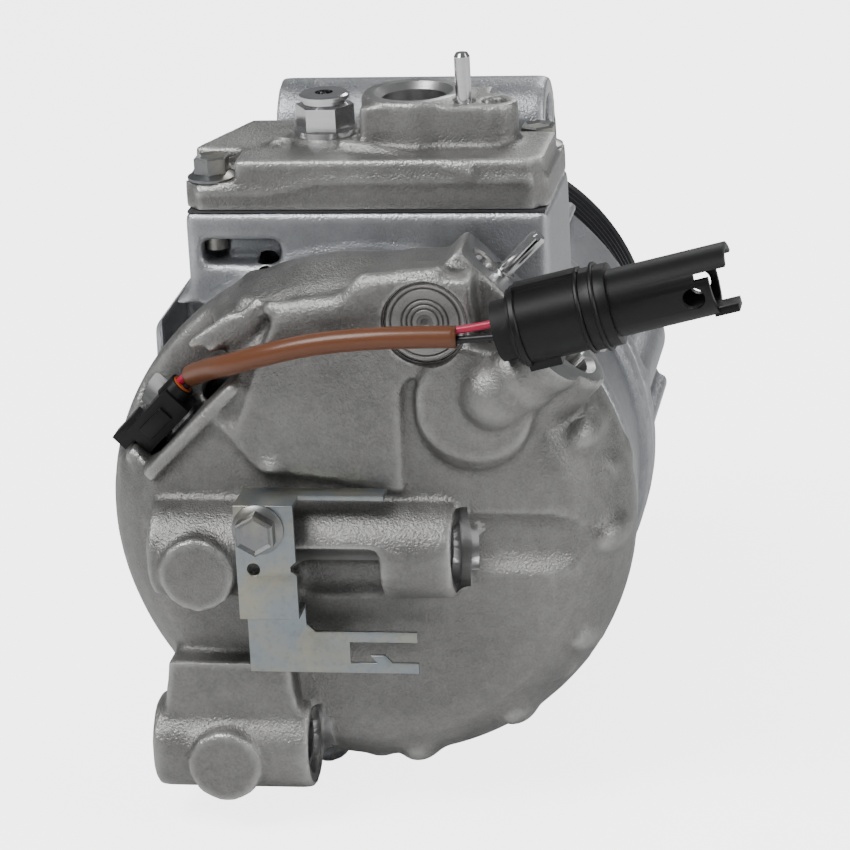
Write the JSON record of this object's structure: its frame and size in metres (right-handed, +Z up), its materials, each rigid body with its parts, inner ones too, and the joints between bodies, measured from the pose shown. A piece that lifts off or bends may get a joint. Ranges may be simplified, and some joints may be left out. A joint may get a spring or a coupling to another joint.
{
  "type": "automotive AC compressor",
  "caption": "Belt-driven variable swash-plate compressor with cast heads, three mounting lugs, two ports and a control-valve pigtail.",
  "frame": {"origin": "on the drive shaft's axis, in the middle plane of the belt", "axes": "+Z up as mounted, +Y along the shaft towards the pulley's face, +X to the right seen from the rear"},
  "size_m": [0.1633, 0.1988, 0.1856],
  "materials": {
    "cast_aluminium": "sand-cast, blasted satin grey",
    "block_aluminium": "die-cast, bright bluish silver",
    "machined_aluminium": "turned",
    "zinc": "zinc plated",
    "steel": "ground",
    "polished_steel": "polished",
    "spring_steel": "drawn wire",
    "black_steel": "black coated",
    "pulley_steel": "black coated",
    "gasket": "rubber-coated steel",
    "rubber": "matt",
    "orange_seal": "silicone",
    "black_plastic": "moulded",
    "brown_sleeve": "satin PVC",
    "red_wire": "insulation",
    "black_wire": "insulation",
    "cage_plastic": "glass-filled nylon"
  },
  "bodies": {
    "casing": {"front_housing": "block_aluminium", "cylinder_block": "block_aluminium", "top_cover": "cast_aluminium", "rear_housing": "cast_aluminium", "cover_gasket": "gasket", "suction_reed": "spring_steel", "valve_plate": "steel", "discharge_reed": "spring_steel", "rear_gasket": "gasket", "reed_retainer": "steel", "through_bolts": "zinc", "cover_bolts": "zinc", "front_bearing_ring": "steel", "rear_bearing_ring": "steel", "shaft_seal": "rubber", "pistons": "machined_aluminium", "shoes": "polished_steel", "pulley_bearing_inner": "polished_steel", "bearing_circlip": "spring_steel", "relief_valve_body": "polished_steel", "relief_valve_cap": "polished_steel", "relief_valve_spring": "spring_steel", "check_valve_seat": "steel", "check_valve_spring": "spring_steel", "check_valve_cage": "steel", "top_dowel_pin": "polished_steel", "rear_dowel_pin": "polished_steel", "end_plug": "machined_aluminium", "suction_valve_cup": "cage_plastic", "control_valve_body": "steel", "control_valve_rings": "rubber", "valve_connector": "black_plastic", "connector_seal": "orange_seal", "loom_sleeve": "brown_sleeve", "wire_red": "red_wire", "wire_black": "black_wire", "plug_housing": "black_plastic", "plug_rear_seal": "rubber", "bracket": "zinc", "bracket_bolt": "zinc", "lug_bushes": "steel"},
    "shaft": {"pulley": "pulley_steel", "pulley_bearing_outer": "polished_steel", "damper_ring": "rubber", "hub": "pulley_steel", "hub_nut": "zinc", "drive_shaft": "steel", "lug_plate": "steel", "hinge_pin": "polished_steel", "swash_plate": "steel", "destroke_spring": "spring_steel"},
    "pulley_bearing": {"pulley_bearing_cage": "cage_plastic", "pulley_bearing_balls": "polished_steel"},
    "front_needles": {"front_bearing_rollers": "steel"},
    "rear_needles": {"rear_bearing_rollers": "steel"},
    "thrust_needles": {"thrust_rollers": "steel"},
    "relief_poppet": {"relief_valve_poppet": "steel"},
    "check_poppet": {"check_valve_poppet": "cage_plastic"},
    "suction_piston": {"suction_valve_piston": "cage_plastic"},
    "control_plunger": {"control_valve_plunger": "polished_steel"}
  },
  "joints": [
    {"name": "shaft_spin", "type": "hinge", "parent": "casing", "child": "shaft", "pos_m": [0, 0, 0], "axis": [0, 1, 0], "continuous": true},
    {"name": "pulley_bearing_spin", "type": "hinge", "parent": "casing", "child": "pulley_bearing", "pos_m": [0, 0, 0], "axis": [0, 1, 0], "continuous": true},
    {"name": "front_needles_spin", "type": "hinge", "parent": "casing", "child": "front_needles", "pos_m": [0, 0, 0], "axis": [0, 1, 0], "continuous": true},
    {"name": "rear_needles_spin", "type": "hinge", "parent": "casing", "child": "rear_needles", "pos_m": [0, 0, 0], "axis": [0, 1, 0], "continuous": true},
    {"name": "thrust_needles_spin", "type": "hinge", "parent": "casing", "child": "thrust_needles", "pos_m": [0, 0, 0], "axis": [0, 1, 0], "continuous": true},
    {"name": "relief_lift", "type": "slide", "parent": "casing", "child": "relief_poppet", "axis": [0, 0, 1], "range_m": [0, 0.0012], "stiffness_N_per_m": 9000, "springref_m": -0.0004, "deforming": ["relief_valve_spring"]},
    {"name": "check_lift", "type": "slide", "parent": "casing", "child": "check_poppet", "axis": [0, 0, 1], "range_m": [0, 0.0025], "stiffness_N_per_m": 300, "springref_m": -0.001, "deforming": ["check_valve_spring"]},
    {"name": "suction_open", "type": "slide", "parent": "casing", "child": "suction_piston", "axis": [-0.7071, 0, -0.7071], "range_m": [0, 0.003], "stiffness_N_per_m": 200, "springref_m": -0.001},
    {"name": "control_stroke", "type": "slide", "parent": "casing", "child": "control_plunger", "axis": [0.7071, 0, -0.7071], "range_m": [0, 0.001], "stiffness_N_per_m": 2000, "springref_m": -0.0005}
  ],
  "couplings": [
    {"joint": "pulley_bearing_spin", "follows": "shaft_spin", "ratio": 0.5622},
    {"joint": "front_needles_spin", "follows": "shaft_spin", "ratio": 0.4327},
    {"joint": "rear_needles_spin", "follows": "shaft_spin", "ratio": 0.4327},
    {"joint": "thrust_needles_spin", "follows": "shaft_spin", "ratio": 0.5}
  ]
}
